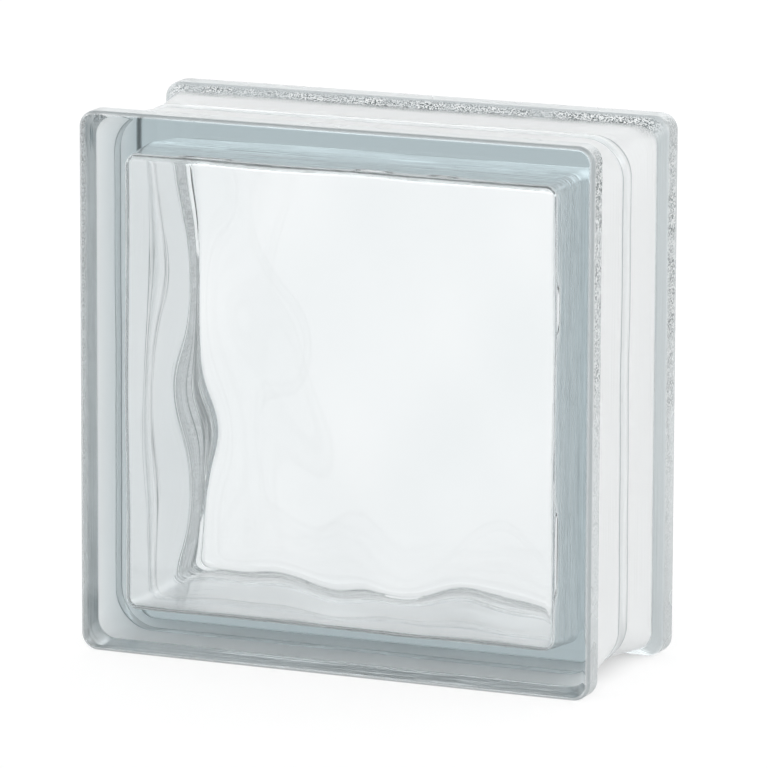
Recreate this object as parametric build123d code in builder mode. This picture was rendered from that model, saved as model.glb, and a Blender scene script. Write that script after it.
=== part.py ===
"""Hollow glass block, 190 x 190 x 80 mm, with wavy inner faces.

Two pressed halves are fused along the middle of the depth into one piece of glass around a
sealed cavity. The block stands upright on the edges of its two flanges. Millimetres, +Z up,
front face towards -Y, origin on the floor under the middle of the block.
"""

import os
from math import cos, pi, radians, sin

from build123d import *

# Overall size
block_width = 190.0
block_height = 190.0
block_depth = 80.0

# Flange around each face
flange_edge = 8.2  # flat edge, measured from the face
flange_corner = 6.0  # corner radius of the face's outline
flange_round = 1.8  # rounding where the face meets the flat edge
slope_depth = 6.0  # depth over which the flange falls to the side wall
slope_blend = 0.25  # share of the slope that is rounded at each end
slope_steps = 8  # sections that carry the slope

# Side wall between the flanges, which takes the mortar
wall_recess = 3.0  # below the flat edge, where the slope ends
wall_corner = 7.0  # corner radius there
seam_recess = 3.5  # below the flat edge, beside the seam
seam_corner = 15.0  # corner radius there

# Fused seam around the middle of the side wall
bead_width = 7.0
bead_height = 0.8

# Sealed cavity
plate_thickness = 7.5  # from an outer face to the mean of the waves inside it
wall_thickness = 10.0  # beside the seam
cavity_draft = 1.4  # how much narrower each side of the cavity is at the plates
cavity_corner = 4.5
cavity_fillet = 3.0  # between the side wall and the plates

# Waves pressed into the inside of each plate: length, direction in degrees from +X,
# height above and below the mean, and shift in degrees
front_waves = [
    (43.8, 16.4, 0.35, 23.0),
    (65.4, -41.1, 0.85, -113.0),
    (41.4, -39.1, 0.26, -131.0),
    (28.9, 22.1, 0.2, -106.0),
]
rear_waves = [
    (72.0, -35.0, 0.8, 150.0),
    (50.0, 50.0, 0.4, 10.0),
    (90.0, 10.0, 0.35, 270.0),
]
wave_step = 6.0  # spacing of the points that carry the wavy surface


def wave_height(x, z, waves):
    """How far the wavy face stands proud of its mean, towards the cavity."""
    height = 0.0
    for length, direction, rise, shift in waves:
        along = x * cos(radians(direction)) + z * sin(radians(direction))
        height += rise * sin(2 * pi * along / length + radians(shift))
    return height


def slope_fall(share):
    """How far down the slope is at a share of its depth, from 0 at the top to 1 at the wall."""
    steepness = 1 / (1 - slope_blend)
    if share < slope_blend:
        return steepness * share**2 / (2 * slope_blend)
    if share > 1 - slope_blend:
        return 1 - steepness * (1 - share) ** 2 / (2 * slope_blend)
    return steepness * (share - slope_blend / 2)


def wavy_face(side, waves):
    """The inner face of one plate, wider than the cavity; side is -1 in front, 1 behind."""
    steps_wide = round(block_width / wave_step)
    steps_high = round(block_height / wave_step)
    mean = side * (block_depth / 2 - plate_thickness)
    rows = []
    for row in range(steps_high + 1):
        z = block_height * row / steps_high
        points = []
        for column in range(steps_wide + 1):
            x = block_width * (column / steps_wide - 0.5)
            points.append((x, mean - side * wave_height(x, z, waves), z))
        rows.append(points)
    return Face.make_surface_from_array_of_points(rows)


# The seam's plane: its normal points to the front, its local Y is up
seam_plane = Plane(origin=(0, 0, block_height / 2), x_dir=(1, 0, 0), z_dir=(0, -1, 0))

half_depth = block_depth / 2
cavity_recess = seam_recess + wall_thickness

# Cavity: a drafted hollow, cut at each end by a wavy face and rounded along that edge
with BuildPart() as cavity:
    for level in (0, half_depth):
        draft = cavity_draft * level / (half_depth - plate_thickness)
        with BuildSketch(seam_plane.offset(level)):
            RectangleRounded(
                block_width - 2 * (cavity_recess + draft),
                block_height - 2 * (cavity_recess + draft),
                cavity_corner,
            )
    loft(ruled=True)
    mirror(about=seam_plane)
    split(bisect_by=wavy_face(-1, front_waves), keep=Keep.TOP)
    split(bisect_by=wavy_face(1, rear_waves), keep=Keep.BOTTOM)
    fillet(cavity.faces().sort_by(Axis.Y)[0].edges(), radius=cavity_fillet)
    fillet(cavity.faces().sort_by(Axis.Y)[-1].edges(), radius=cavity_fillet)

# Block: the front half is a flange, a slope and a side wall; the rear half mirrors it
with BuildPart() as glass_block:
    with BuildSketch(seam_plane.offset(half_depth)):
        RectangleRounded(block_width, block_height, flange_corner)
    extrude(amount=-flange_edge)
    fillet(glass_block.faces().sort_by(Axis.Y)[0].edges(), radius=flange_round)
    slope_top = half_depth - flange_edge
    for step in range(slope_steps + 1):
        share = step / slope_steps
        fall = slope_fall(share)
        with BuildSketch(seam_plane.offset(slope_top - slope_depth * share)):
            RectangleRounded(
                block_width - 2 * wall_recess * fall,
                block_height - 2 * wall_recess * fall,
                flange_corner + (wall_corner - flange_corner) * fall,
            )
    loft()
    for recess, corner, level in (
        (wall_recess, wall_corner, slope_top - slope_depth),
        (seam_recess, seam_corner, 0.0),
    ):
        with BuildSketch(seam_plane.offset(level)):
            RectangleRounded(block_width - 2 * recess, block_height - 2 * recess, corner)
    loft(ruled=True)
    mirror(about=seam_plane)

    # The bead of the seam, a shallow arc carried around the wall
    with BuildSketch(seam_plane, mode=Mode.PRIVATE) as seam_outline:
        RectangleRounded(
            block_width - 2 * seam_recess, block_height - 2 * seam_recess, seam_corner
        )
    seam_path = seam_outline.sketch.face().outer_wire()
    with BuildSketch(Plane(origin=seam_path @ 0, x_dir=(0, 1, 0), z_dir=seam_path % 0)):
        with BuildLine():
            ThreePointArc((-bead_width / 2, 0), (0, bead_height), (bead_width / 2, 0))
            ThreePointArc((bead_width / 2, 0), (0, -bead_height), (-bead_width / 2, 0))
        make_face()
    sweep(path=seam_path)
    add(cavity.part, mode=Mode.SUBTRACT)

glass_block.part.label = "glass_block"

os.makedirs("parts", exist_ok=True)
export_step(glass_block.part, "parts/glass_block.step")
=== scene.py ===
from collections import namedtuple
from math import cos, pi, radians, sin

import bpy
from mathutils import Matrix, Vector


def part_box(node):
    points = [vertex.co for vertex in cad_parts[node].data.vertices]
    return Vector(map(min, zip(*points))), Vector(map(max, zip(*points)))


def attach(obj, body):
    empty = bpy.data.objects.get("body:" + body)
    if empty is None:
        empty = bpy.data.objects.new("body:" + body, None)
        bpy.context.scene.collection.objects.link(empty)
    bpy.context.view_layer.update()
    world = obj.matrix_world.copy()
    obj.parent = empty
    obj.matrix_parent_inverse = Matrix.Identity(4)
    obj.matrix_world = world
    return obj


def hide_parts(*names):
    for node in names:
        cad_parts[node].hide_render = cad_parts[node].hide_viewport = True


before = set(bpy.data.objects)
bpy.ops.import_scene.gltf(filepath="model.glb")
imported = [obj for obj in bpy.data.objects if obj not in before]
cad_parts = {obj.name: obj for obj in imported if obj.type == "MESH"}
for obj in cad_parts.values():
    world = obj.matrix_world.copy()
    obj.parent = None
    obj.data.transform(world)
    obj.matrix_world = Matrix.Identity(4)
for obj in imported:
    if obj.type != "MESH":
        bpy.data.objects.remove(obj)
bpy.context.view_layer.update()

# Everything below is in millimetres, in the part's own frame, and becomes metres in the mesh
MM = 0.001
low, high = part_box("glass_block")
HALF_WIDTH = (high[0] - low[0]) / 2 / MM
HALF_DEPTH = (high[1] - low[1]) / 2 / MM
MID_Z = (high[2] - low[2]) / 2 / MM

# Outside of the block, the same sizes as the solid's
FLANGE_EDGE = 8.2  # flat edge, measured from the face
FLANGE_CORNER = 6.0
FLANGE_ROUND = 1.8
SLOPE_DEPTH = 6.0
SLOPE_BLEND = 0.25  # share of the slope that is rounded at each end
WALL_RECESS = 3.0
WALL_CORNER = 7.0
SEAM_RECESS = 3.5
SEAM_CORNER = 15.0
BEAD_WIDTH = 7.0
BEAD_HEIGHT = 0.8

# Sealed cavity, the same sizes as the solid's
PLATE_THICKNESS = 7.5
WALL_THICKNESS = 10.0
CAVITY_DRAFT = 1.4
CAVITY_CORNER = 4.5
CAVITY_FILLET = 3.0

# Waves inside the plates: length, direction in degrees from +X, height, shift in degrees
FRONT_WAVES = [
    (43.8, 16.4, 0.35, 23.0),
    (65.4, -41.1, 0.85, -113.0),
    (41.4, -39.1, 0.26, -131.0),
    (28.9, 22.1, 0.2, -106.0),
]
REAR_WAVES = [
    (72.0, -35.0, 0.8, 150.0),
    (50.0, 50.0, 0.4, 10.0),
    (90.0, 10.0, 0.35, 270.0),
]

# The fused seam strays from the middle of the depth, in a long and a short wave
SEAM_WANDER = 0.4
SEAM_REACH = 14.0  # how far from the seam the wall follows it
LONG_WANDER = 19.0  # length of the wave, over 2 pi
SHORT_WANDER = 8.3  # the same for the shorter wave
SHORT_SHARE = 0.6  # its height, against 1 for the longer one

# Amounts of the outside's finish and of its painted shade, from 0 to 1
EDGE_SHADE = 0.65  # painted shade on the flat edge, and 1 on the slope
BEAD_SATIN = 0.5  # on the glossier bead, and 1 on the wall
CREASE_SHADE = 0.9  # painted shade: dark at each side of the bead, in the crease
ROUND_SHADE = 0.7  # painted shade: dark along the rounding by the face
LEAST_GRAIN = 0.15  # low on the sides, and 1 high on them

# Where the finish and its painted shade begin behind the face, and the depth over which they ease
# in
SATIN_START = 0.2
SATIN_BLEND = 0.8
ROUND_SHADE_START = 0.4
ROUND_SHADE_BLEND = 0.4
SIDE_GRAIN_START = 3.5
SIDE_GRAIN_BLEND = 1.5
TOP_GRAIN_START = FLANGE_EDGE + 3.0
TOP_GRAIN_BLEND = 2.0
STREAKS_BLEND = 3.0
SLOPE_SHADE_BLEND = 2.0
FOOT_BLEND = 1.5  # from the slope's painted shade to the white wall
FOOT_LEAD = 0.8  # share of that blend that lies before the slope's foot
CREASE_WIDTH = 0.4
CREASE_BLEND = 0.5

# How the grain changes around the block
CORNER_BLEND = 12.0  # over a corner, from the grain on top to that on the side
GRAIN_BOTTOM = 0.8  # where it begins to rise, below the middle, in half heights
GRAIN_RISE = 1.4  # how far up it rises, in half heights

# Mesh density: steps along the straight part of a side, and around a corner
OUTSIDE = (40, 20)
INSIDE = (110, 12)

# Steps of the profiles, and how far a row stands off a crease to hold the shading there
ROUND_STEPS = 8
EDGE_STEPS = 8
SLOPE_STEPS = 16
BEAD_STEPS = 6
CAVITY_STEPS = 8
FILLET_STEPS = 8
FACE_MARGIN = 0.2
EDGE_MARGIN = 0.3
NEAR_ZERO = 1e-9

# Pressed glass
GLASS_IOR = 1.52
GLASS_TINT = (0.74, 0.79, 0.805)
TINT_DENSITY = 43.0

# Tones of the finish: the wall's white coat, the painted shade of the flanges, and the painted
# dark lines of shade
WALL_TONE = (1.0, 1.0, 1.0)
FLANGE_SHADE_TONE = (0.42, 0.46, 0.47)
SHADE_LINE_TONE = (0.2, 0.23, 0.24)

# Satin of the wall and the flanges: its roughness, and how much of the clear glass it hides
WALL_ROUGHNESS = 0.45
FLANGE_ROUGHNESS = 0.25
WALL_COAT = 1.0
FLANGE_COAT = 0.4
MILK_SHARE = 0.48  # share of the wall's coat that passes light on

# Scales of the procedural detail, in repeats per metre, and its relief in metres
STREAK_SCALE = (12.0, 700.0, 12.0)
STREAK_RELIEF = 0.0004
SPECK_SCALE = 1700.0
SPECK_RELIEF = 0.0008
PATCH_SCALE = 120.0
CLOUD_SCALE = 45.0

# What a noise value stands for: the colour of a speck, painted as a dark fleck or a white glint,
# the share of grain, the share of roughness
GLINT_SPECK_STOPS = [(0.43, (0.03, 0.04, 0.04)), (0.49, (0.5, 0.55, 0.56)), (0.57, (1.0, 1.0, 1.0))]
PATCH_STOPS = [(0.35, 0.4), (0.6, 1.0)]
CLOUD_STOPS = [(0.3, 0.75), (0.7, 1.0)]

# Camera of the photograph, a long lens from the front right, a little above
YAW = 23.31
PITCH = 11.52
ROLL = 0.20
DISTANCE = 2457.0
AIM_RIGHT = 2.2
AIM_UP = -0.4
LENS = 333.6
SENSOR = 36.0

# Floor: its own grey, its glow, and how far in from the block's outline the shade fades
FLOOR_REACH = 40000.0
FLOOR_GREY = 0.25
FLOOR_ROUGHNESS = 0.9
FLOOR_GLOW = 0.76
FLOOR_SHADE = 0.4  # share of the glow that is lost under the block
SHADE_FADE_X = 20.0
SHADE_FADE_Y = 2.0

# Room: its light, and how that spreads, by the sine of the elevation
ROOM_GLOW = 2.8
ROOM_STOPS = [(0.0, 0.4), (0.2, 0.4), (0.34, 1.0), (0.55, 1.0), (0.72, 0.1), (1.0, 0.1)]

# How often light may turn inside the glass before it comes out, and between plain surfaces
GLASS_BOUNCES = 40
DIFFUSE_BOUNCES = 4

# Finish of a row of vertices, with its painted shade, and the grain on the sides and the grain on
# top apart
Finish = namedtuple(
    "Finish", "satin grey line streaks side_grain top_grain", defaults=(0.0,) * 6
)
CLEAR = Finish()


def smooth(share):
    """Eases from 0 to 1."""
    share = min(max(share, 0.0), 1.0)
    return share * share * (3 - 2 * share)


def between(value, start, end, blend):
    """1 from start to end, easing to 0 over the blend outside."""
    return smooth((value - start) / blend + 1) * smooth((end - value) / blend + 1)


def waves_at(x, z, waves):
    """How far the wavy inner face stands proud of its mean, towards the cavity."""
    height = 0.0
    for length, direction, rise, shift in waves:
        along = x * cos(radians(direction)) + z * sin(radians(direction))
        height += rise * sin(2 * pi * along / length + radians(shift))
    return height


def ring_points(recess, corner, density):
    """Points around a rounded square, set in from the block's outline, from the middle of
    the lower left corner, along the bottom, counter-clockwise seen from the front."""
    straight, bend = density
    half_x = HALF_WIDTH - recess
    half_z = MID_Z - recess
    outline = []
    for sign_x, sign_z, start in ((-1, -1, 180), (1, -1, 270), (1, 1, 0), (-1, 1, 90)):
        centre_x = sign_x * (half_x - corner)
        centre_z = sign_z * (half_z - corner)
        for step in range(bend + 1):
            turn = radians(start + 90 * step / bend)
            outline.append((centre_x + corner * cos(turn), centre_z + corner * sin(turn)))
    points = []
    for side in range(4):
        first = side * (bend + 1)
        points += outline[first:first + bend]
        (xa, za), (xb, zb) = outline[first + bend], outline[(first + bend + 1) % len(outline)]
        for step in range(straight):
            share = step / straight
            points.append((xa + (xb - xa) * share, za + (zb - za) * share))
    return points[bend // 2:] + points[:bend // 2]


def grain_at(x, z, side_grain, top_grain):
    """Grain at a point of a ring: one amount on top, another on the sides, less below."""
    on_top = smooth((z - abs(x)) / CORNER_BLEND + 0.5)
    on_side = 1 - on_top
    rise = smooth((z / MID_Z + GRAIN_BOTTOM) / GRAIN_RISE)
    fade = LEAST_GRAIN + (1 - LEAST_GRAIN) * rise
    return top_grain * on_top + side_grain * on_side * fade


class Shell:
    """Collects rings and grids of vertices into one closed mesh, with their finish and painted
    shade.
    """

    def __init__(self):
        self.verts = []
        self.faces = []
        self.layers = {"satin": [], "grey": [], "line": [], "streaks": [], "grain": []}

    def add_vertex(self, x, y, z, finish=CLEAR):
        self.verts.append((x * MM, y * MM, (z + MID_Z) * MM))
        grain = grain_at(x, z, finish.side_grain, finish.top_grain)
        values = (finish.satin, finish.grey, finish.line, finish.streaks, grain)
        for layer, value in zip(self.layers.values(), values):
            layer.append(value)

    def ring(self, points, height, finish):
        """Adds one ring. height(x, z) gives the depth of each point. Returns its vertices."""
        first = len(self.verts)
        for x, z in points:
            self.add_vertex(x, height(x, z), z, finish)
        return list(range(first, first + len(points)))

    def band(self, ring_a, ring_b):
        """Quads between two rings."""
        count = len(ring_a)
        for n in range(count):
            m = (n + 1) % count
            self.faces.append((ring_a[n], ring_a[m], ring_b[m], ring_b[n]))

    def plate(self, ring, points, height, flip):
        """Fills a ring with a square grid that keeps the ring's vertices as its border."""
        steps = len(ring) // 4
        grid = [[None] * (steps + 1) for _ in range(steps + 1)]
        for n in range(steps + 1):
            grid[0][n] = ring[n]
            grid[n][steps] = ring[steps + n]
            grid[steps][steps - n] = ring[2 * steps + n]
            grid[steps - n][0] = ring[(3 * steps + n) % len(ring)]
        for row in range(1, steps):
            for column in range(1, steps):
                u = 2 * column / steps - 1
                v = 2 * row / steps - 1
                reach = max(abs(u), abs(v))
                x, z = 0.0, 0.0
                if reach > NEAR_ZERO:
                    x, z = self.border(points, u / reach, v / reach)
                x, z = x * reach, z * reach
                grid[row][column] = len(self.verts)
                self.add_vertex(x, height(x, z), z)
        for row in range(steps):
            for column in range(steps):
                face = (
                    grid[row][column], grid[row][column + 1],
                    grid[row + 1][column + 1], grid[row + 1][column],
                )
                self.faces.append(face[::-1] if flip else face)

    def border(self, points, u, v):
        """The point on the ring in the direction of the square's border point (u, v)."""
        steps = len(points) // 4
        if v <= -1 + NEAR_ZERO:
            place = (u + 1) / 2 * steps
        elif u >= 1 - NEAR_ZERO:
            place = steps + (v + 1) / 2 * steps
        elif v >= 1 - NEAR_ZERO:
            place = 2 * steps + (1 - u) / 2 * steps
        else:
            place = 3 * steps + (1 - v) / 2 * steps
        n = int(place) % len(points)
        share = place - int(place)
        a, b = points[n], points[(n + 1) % len(points)]
        return a[0] + (b[0] - a[0]) * share, a[1] + (b[1] - a[1]) * share


def slope_fall(share):
    """How far down the slope is at a share of its depth, from 0 at the top to 1 at the wall."""
    steepness = 1 / (1 - SLOPE_BLEND)
    if share < SLOPE_BLEND:
        return steepness * share**2 / (2 * SLOPE_BLEND)
    if share > 1 - SLOPE_BLEND:
        return 1 - steepness * (1 - share) ** 2 / (2 * SLOPE_BLEND)
    return steepness * (share - SLOPE_BLEND / 2)


def outer_profile():
    """Rows from the front face to the seam: recess, corner radius, distance from the seam."""
    set_in = FLANGE_ROUND + FACE_MARGIN
    rows = [(set_in, FLANGE_CORNER - set_in, HALF_DEPTH)]
    for step in range(ROUND_STEPS + 1):
        turn = radians(90 * step / ROUND_STEPS)
        recess = FLANGE_ROUND * (1 - sin(turn))
        depth = HALF_DEPTH - FLANGE_ROUND * (1 - cos(turn))
        rows.append((recess, FLANGE_CORNER - recess, depth))

    slope_top = HALF_DEPTH - FLANGE_EDGE
    flat = FLANGE_EDGE - FLANGE_ROUND - 2 * EDGE_MARGIN
    for step in range(EDGE_STEPS + 1):
        depth = slope_top + EDGE_MARGIN + flat * (1 - step / EDGE_STEPS)
        rows.append((0.0, FLANGE_CORNER, depth))
    for step in range(SLOPE_STEPS + 1):
        share = step / SLOPE_STEPS
        fall = slope_fall(share)
        corner = FLANGE_CORNER + (WALL_CORNER - FLANGE_CORNER) * fall
        rows.append((WALL_RECESS * fall, corner, slope_top - SLOPE_DEPTH * share))

    foot = slope_top - SLOPE_DEPTH
    crease = BEAD_WIDTH / 2
    wall_rows = (foot - EDGE_MARGIN, foot * 0.75, foot * 0.5)
    crease_rows = (crease + 1.0, crease + CREASE_WIDTH, crease)
    for depth in wall_rows + crease_rows:
        share = 1 - depth / foot
        recess = WALL_RECESS + (SEAM_RECESS - WALL_RECESS) * share
        rows.append((recess, WALL_CORNER + (SEAM_CORNER - WALL_CORNER) * share, depth))
    for step in range(1, BEAD_STEPS + 1):
        share = 1 - step / BEAD_STEPS
        recess = SEAM_RECESS - BEAD_HEIGHT * (1 - share * share)
        rows.append((recess, SEAM_CORNER, crease * share))
    return rows


def inner_profile():
    """Rows from the front fillet to the seam: recess, corner radius, distance from the seam."""
    end = HALF_DEPTH - PLATE_THICKNESS
    rows = []
    for step in range(CAVITY_STEPS + 1):
        depth = (end - CAVITY_FILLET) * (1 - step / CAVITY_STEPS)
        recess = SEAM_RECESS + WALL_THICKNESS + CAVITY_DRAFT * depth / end
        rows.append((recess, CAVITY_CORNER, depth))
    return rows


def both_halves(rows):
    """The rows of the front half, then the same rows mirrored, from the seam to the rear."""
    return rows + [(recess, corner, -depth) for recess, corner, depth in rows[-2::-1]]


def finish_at(depth):
    """Finish of the outside at a distance from the seam, with its painted shade."""
    behind_face = HALF_DEPTH - depth
    behind_foot = behind_face - FLANGE_EDGE - SLOPE_DEPTH
    crease = BEAD_WIDTH / 2
    satin = smooth((behind_face - SATIN_START) / SATIN_BLEND)
    satin -= (1 - BEAD_SATIN) * smooth((crease - depth) / SATIN_BLEND + 0.5)
    # painted shade: darker on the flat edge and more on the slope, none on the wall
    grey = 1 - smooth(behind_foot / FOOT_BLEND + FOOT_LEAD)
    grey *= EDGE_SHADE + (1 - EDGE_SHADE) * smooth((behind_face - FLANGE_EDGE) / SLOPE_SHADE_BLEND)
    # painted shade, dark in the crease at each side of the bead and along the rounding
    line = CREASE_SHADE * between(depth, crease, crease + CREASE_WIDTH, CREASE_BLEND)
    line += ROUND_SHADE * between(behind_face, ROUND_SHADE_START, FLANGE_ROUND, ROUND_SHADE_BLEND)
    streaks = smooth((behind_face - FLANGE_EDGE) / STREAKS_BLEND)
    side_grain = between(behind_face, SIDE_GRAIN_START, FLANGE_EDGE, SIDE_GRAIN_BLEND)
    slope_end = FLANGE_EDGE + SLOPE_DEPTH
    top_grain = between(behind_face, TOP_GRAIN_START, slope_end, TOP_GRAIN_BLEND)
    return Finish(satin, grey, line, streaks, side_grain, top_grain)


def seam_wander(x, z, depth):
    """How far the seam strays from the middle of the depth, dying out towards the flanges."""
    around = x - z if abs(x) > abs(z) else z - x
    stray = sin(around / LONG_WANDER) + SHORT_SHARE * sin(around / SHORT_WANDER + 1)
    return SEAM_WANDER * stray * (1 - smooth(abs(depth) / SEAM_REACH))


def build_outside(shell):
    """The outside, from the front face round to the rear face."""
    rings = []
    for recess, corner, depth in both_halves(outer_profile()):
        points = ring_points(recess, corner, OUTSIDE)
        finish = finish_at(abs(depth))
        rings.append(shell.ring(points, lambda x, z: seam_wander(x, z, depth) - depth, finish))
    for ring_a, ring_b in zip(rings, rings[1:]):
        shell.band(ring_b, ring_a)
    shell.faces.append(tuple(rings[0]))
    shell.faces.append(tuple(rings[-1][::-1]))


def build_cavity(shell):
    """The cavity's side wall, then the fillet and wavy face at each end of it."""
    rows = both_halves(inner_profile())
    rings = []
    for recess, corner, depth in rows:
        points = ring_points(recess, corner, INSIDE)
        rings.append(shell.ring(points, lambda x, z: -depth, Finish(streaks=1.0)))
    for ring_a, ring_b in zip(rings, rings[1:]):
        shell.band(ring_a, ring_b)
    end_recess = rows[0][0]
    close_cavity(shell, rings[0], end_recess, -1, FRONT_WAVES)
    close_cavity(shell, rings[-1], end_recess, 1, REAR_WAVES)


def close_cavity(shell, last, recess, side, waves):
    """One end of the cavity, from the last ring of its wall; side is -1 in front, 1 behind."""
    mean = side * (HALF_DEPTH - PLATE_THICKNESS)
    for step in range(1, FILLET_STEPS + 1):
        turn = radians(90 * step / FILLET_STEPS)
        inset = CAVITY_FILLET * (1 - cos(turn))
        drop = CAVITY_FILLET * (1 - sin(turn))
        points = ring_points(recess + inset, CAVITY_CORNER - inset, INSIDE)
        ring = shell.ring(
            points,
            lambda x, z: mean - side * (waves_at(x, z + MID_Z, waves) + drop),
            Finish(streaks=1 - step / FILLET_STEPS),
        )
        if side < 0:
            shell.band(ring, last)
        else:
            shell.band(last, ring)
        last = ring
    shell.plate(last, points, lambda x, z: mean - side * waves_at(x, z + MID_Z, waves), side < 0)


def build_block():
    """The whole block as one mesh, whose attributes hold the amounts of its finish and painted
    shade.
    """
    shell = Shell()
    build_outside(shell)
    build_cavity(shell)
    mesh = bpy.data.meshes.new("block_glass")
    mesh.from_pydata(shell.verts, [], shell.faces)
    mesh.update()
    mesh.shade_smooth()
    for name, values in shell.layers.items():
        mesh.attributes.new(name, "FLOAT", "POINT").data.foreach_set("value", values)
    block = bpy.data.objects.new("block_glass", mesh)
    bpy.context.scene.collection.objects.link(block)
    return block


class Nodes:
    """Short calls for building a material's or a world's nodes."""

    def __init__(self, tree):
        self.tree = tree
        self.nodes = tree.nodes

    def add(self, kind, **settings):
        node = self.nodes.new(kind)
        for name, value in settings.items():
            setattr(node, name, value)
        return node

    def join(self, source, target):
        self.tree.links.new(source, target)

    def amount(self, name):
        """The value of one of the mesh's attributes."""
        return self.add("ShaderNodeAttribute", attribute_name=name).outputs["Fac"]

    def math(self, operation, *values):
        node = self.add("ShaderNodeMath", operation=operation)
        for slot, value in enumerate(values):
            if isinstance(value, (int, float)):
                node.inputs[slot].default_value = value
            else:
                self.join(value, node.inputs[slot])
        return node.outputs["Value"]

    def mix(self, share, first, second):
        """Mixes two colours, each a socket or a plain colour."""
        node = self.add("ShaderNodeMix", data_type="RGBA")
        self.join(share, node.inputs["Factor"])
        slots = [slot for slot in node.inputs if slot.type == "RGBA"]
        for slot, value in zip(slots, (first, second)):
            if isinstance(value, tuple):
                slot.default_value = (*value, 1.0)
            else:
                self.join(value, slot)
        return [slot for slot in node.outputs if slot.type == "RGBA"][0]

    def noise(self, place, scale, detail=2.0):
        node = self.add("ShaderNodeTexNoise")
        node.inputs["Scale"].default_value = scale
        node.inputs["Detail"].default_value = detail
        self.join(place, node.inputs["Vector"])
        return node.outputs["Fac"]

    def bump(self, height, strength, distance):
        """A bump node, whose own normal may be joined to another bump's."""
        node = self.add("ShaderNodeBump")
        node.inputs["Distance"].default_value = distance
        self.join(strength, node.inputs["Strength"])
        self.join(height, node.inputs["Height"])
        return node

    def ramp(self, value, stops):
        """A colour ramp. Each stop has its position, and a grey or a colour."""
        node = self.add("ShaderNodeValToRGB")
        elements = node.color_ramp.elements
        while len(elements) < len(stops):
            elements.new(0.5)
        for element, (position, colour) in zip(elements, stops):
            element.position = position
            element.color = (*colour, 1.0) if isinstance(colour, tuple) else (colour,) * 3 + (1.0,)
        self.join(value, node.inputs["Fac"])
        return node.outputs["Color"]


def glass_material():
    """Clear, faintly tinted glass, with the satin, grain and streaks of its sides, and painted
    shade, painted dark lines of shade and painted glints over them.
    """
    material = bpy.data.materials.new("pressed_glass")
    material.use_nodes = True
    build = Nodes(material.node_tree)
    shader = build.nodes["Principled BSDF"]
    output = build.nodes["Material Output"]
    shader.inputs["IOR"].default_value = GLASS_IOR
    place = build.add("ShaderNodeTexCoord").outputs["Object"]
    satin = build.amount("satin")
    grey = build.amount("grey")
    line = build.amount("line")
    beside_shade_line = build.math("SUBTRACT", 1.0, line)

    # Faint streaks run around the sides, drawn by the press
    stretch = build.add("ShaderNodeMapping")
    stretch.inputs["Scale"].default_value = STREAK_SCALE
    build.join(place, stretch.inputs["Vector"])
    drawn = build.noise(stretch.outputs["Vector"], 1.0)
    streaks = build.bump(drawn, build.amount("streaks"), STREAK_RELIEF)

    # A coarse crisp grain lies in patches along the flanges
    patches = build.ramp(build.noise(place, PATCH_SCALE), PATCH_STOPS)
    grain = build.math("MULTIPLY", build.amount("grain"), patches)
    specks = build.noise(place, SPECK_SCALE, 1.0)
    grains = build.bump(specks, grain, SPECK_RELIEF)
    build.join(streaks.outputs["Normal"], grains.inputs["Normal"])
    build.join(grains.outputs["Normal"], shader.inputs["Normal"])

    # The wall is white and the flanges have a painted darker shade, with painted dark lines of
    # shade and painted specks over them
    tone_and_shade = build.mix(build.math("MULTIPLY", satin, grey), WALL_TONE, FLANGE_SHADE_TONE)
    # painted dark lines of shade over the colour
    tone_and_shade = build.mix(line, tone_and_shade, SHADE_LINE_TONE)
    # painted glints and dark flecks, where light catches the grain
    painted_glints = build.ramp(specks, GLINT_SPECK_STOPS)
    build.join(build.mix(grain, tone_and_shade, painted_glints), shader.inputs["Base Color"])

    # Satin is rough, a little unevenly, and hides the clear glass
    cloud = build.ramp(build.noise(place, CLOUD_SCALE), CLOUD_STOPS)
    full = build.math("MULTIPLY_ADD", grey, FLANGE_ROUGHNESS - WALL_ROUGHNESS, WALL_ROUGHNESS)
    rough = build.math("MULTIPLY", build.math("MULTIPLY", satin, cloud), full)
    build.join(rough, shader.inputs["Roughness"])
    coat = build.math("MULTIPLY_ADD", grey, FLANGE_COAT - WALL_COAT, WALL_COAT)
    clear = build.math("SUBTRACT", 1.0, build.math("MULTIPLY", satin, coat))
    # the painted dark lines of shade are opaque
    clear = build.math("MULTIPLY", clear, beside_shade_line)
    build.join(clear, shader.inputs["Transmission Weight"])

    # The wall's white coat also passes light on to the inside
    milk = build.add("ShaderNodeBsdfTranslucent")
    milk.inputs["Color"].default_value = (*WALL_TONE, 1.0)
    milky = build.add("ShaderNodeMixShader")
    wall = build.math("MULTIPLY", satin, build.math("SUBTRACT", 1.0, grey))
    wall = build.math("MULTIPLY", wall, beside_shade_line)
    build.join(build.math("MULTIPLY", wall, MILK_SHARE), milky.inputs["Fac"])
    build.join(shader.outputs["BSDF"], milky.inputs[1])
    build.join(milk.outputs["BSDF"], milky.inputs[2])
    build.join(milky.outputs["Shader"], output.inputs["Surface"])

    absorption = build.add("ShaderNodeVolumeAbsorption")
    absorption.inputs["Color"].default_value = (*GLASS_TINT, 1.0)
    absorption.inputs["Density"].default_value = TINT_DENSITY
    build.join(absorption.outputs["Volume"], output.inputs["Volume"])
    return material


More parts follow.
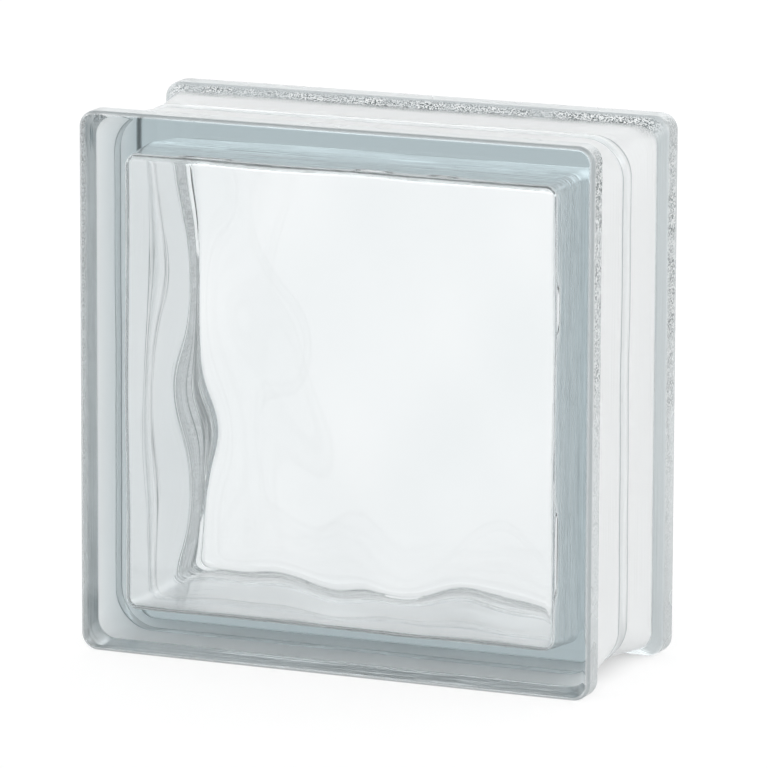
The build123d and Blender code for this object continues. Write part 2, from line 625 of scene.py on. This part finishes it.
def make_camera():
    """The camera of the photograph, aimed beside the middle of the block."""
    data = bpy.data.cameras.new("camera")
    data.sensor_width = SENSOR
    data.lens = LENS
    data.clip_start = 0.1
    data.clip_end = 100.0
    camera = bpy.data.objects.new("camera", data)
    bpy.context.scene.collection.objects.link(camera)
    yaw, pitch, roll = radians(YAW), radians(PITCH), radians(ROLL)
    forward = Vector((-sin(yaw) * cos(pitch), cos(yaw) * cos(pitch), -sin(pitch)))
    flat_right = Vector((cos(yaw), sin(yaw), 0.0))
    flat_up = flat_right.cross(forward)
    right = flat_right * cos(roll) + flat_up * sin(roll)
    up = flat_up * cos(roll) - flat_right * sin(roll)
    place = Vector((0, 0, MID_Z)) - forward * DISTANCE + right * AIM_RIGHT + up * AIM_UP
    turn = Matrix((right, up, -forward)).transposed()
    camera.matrix_world = Matrix.Translation(place * MM) @ turn.to_4x4()
    bpy.context.scene.camera = camera


def make_floor():
    """A white floor that glows, and less so under the block, where the block keeps light out."""
    mesh = bpy.data.meshes.new("floor")
    reach = FLOOR_REACH * MM
    mesh.from_pydata(
        [(-reach, -reach, 0), (reach, -reach, 0), (reach, reach, 0), (-reach, reach, 0)],
        [], [(0, 1, 2, 3)],
    )
    floor = bpy.data.objects.new("floor", mesh)
    bpy.context.scene.collection.objects.link(floor)
    material = bpy.data.materials.new("white_sweep")
    material.use_nodes = True
    build = Nodes(material.node_tree)
    shader = build.nodes["Principled BSDF"]
    shader.inputs["Base Color"].default_value = (FLOOR_GREY, FLOOR_GREY, FLOOR_GREY, 1.0)
    shader.inputs["Roughness"].default_value = FLOOR_ROUGHNESS
    shader.inputs["Specular IOR Level"].default_value = 0.0
    shader.inputs["Emission Color"].default_value = (1.0, 1.0, 1.0, 1.0)

    split = build.add("ShaderNodeSeparateXYZ")
    build.join(build.add("ShaderNodeTexCoord").outputs["Object"], split.inputs["Vector"])
    under = []
    for axis, half, width in (("X", HALF_WIDTH, SHADE_FADE_X), ("Y", HALF_DEPTH, SHADE_FADE_Y)):
        fade = build.add("ShaderNodeMapRange", interpolation_type="SMOOTHSTEP")
        build.join(build.math("ABSOLUTE", split.outputs[axis]), fade.inputs["Value"])
        fade.inputs["From Min"].default_value = (half - width) * MM
        fade.inputs["From Max"].default_value = half * MM
        fade.inputs["To Min"].default_value = 1.0
        fade.inputs["To Max"].default_value = 0.0
        under.append(fade.outputs["Result"])
    shade = build.math("MULTIPLY", *under)
    glow = build.math("MULTIPLY_ADD", shade, -FLOOR_SHADE * FLOOR_GLOW, FLOOR_GLOW)
    build.join(glow, shader.inputs["Emission Strength"])
    mesh.materials.append(material)


def make_world():
    """A pale room, the same all around: dim near the horizon, bright above, with a dim ceiling."""
    world = bpy.data.worlds.new("studio")
    bpy.context.scene.world = world
    world.use_nodes = True
    build = Nodes(world.node_tree)
    direction = build.add("ShaderNodeTexCoord").outputs["Generated"]
    split = build.add("ShaderNodeSeparateXYZ")
    build.join(direction, split.inputs["Vector"])
    background = build.nodes["Background"]
    build.join(build.ramp(split.outputs["Z"], ROOM_STOPS), background.inputs["Color"])
    background.inputs["Strength"].default_value = ROOM_GLOW


block = build_block()
block.data.materials.append(glass_material())
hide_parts("glass_block")
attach(block, "root")

make_camera()
make_floor()
make_world()

scene = bpy.context.scene
scene.view_settings.view_transform = "Standard"
scene.cycles.max_bounces = GLASS_BOUNCES
scene.cycles.transmission_bounces = GLASS_BOUNCES
scene.cycles.glossy_bounces = GLASS_BOUNCES
scene.cycles.diffuse_bounces = DIFFUSE_BOUNCES
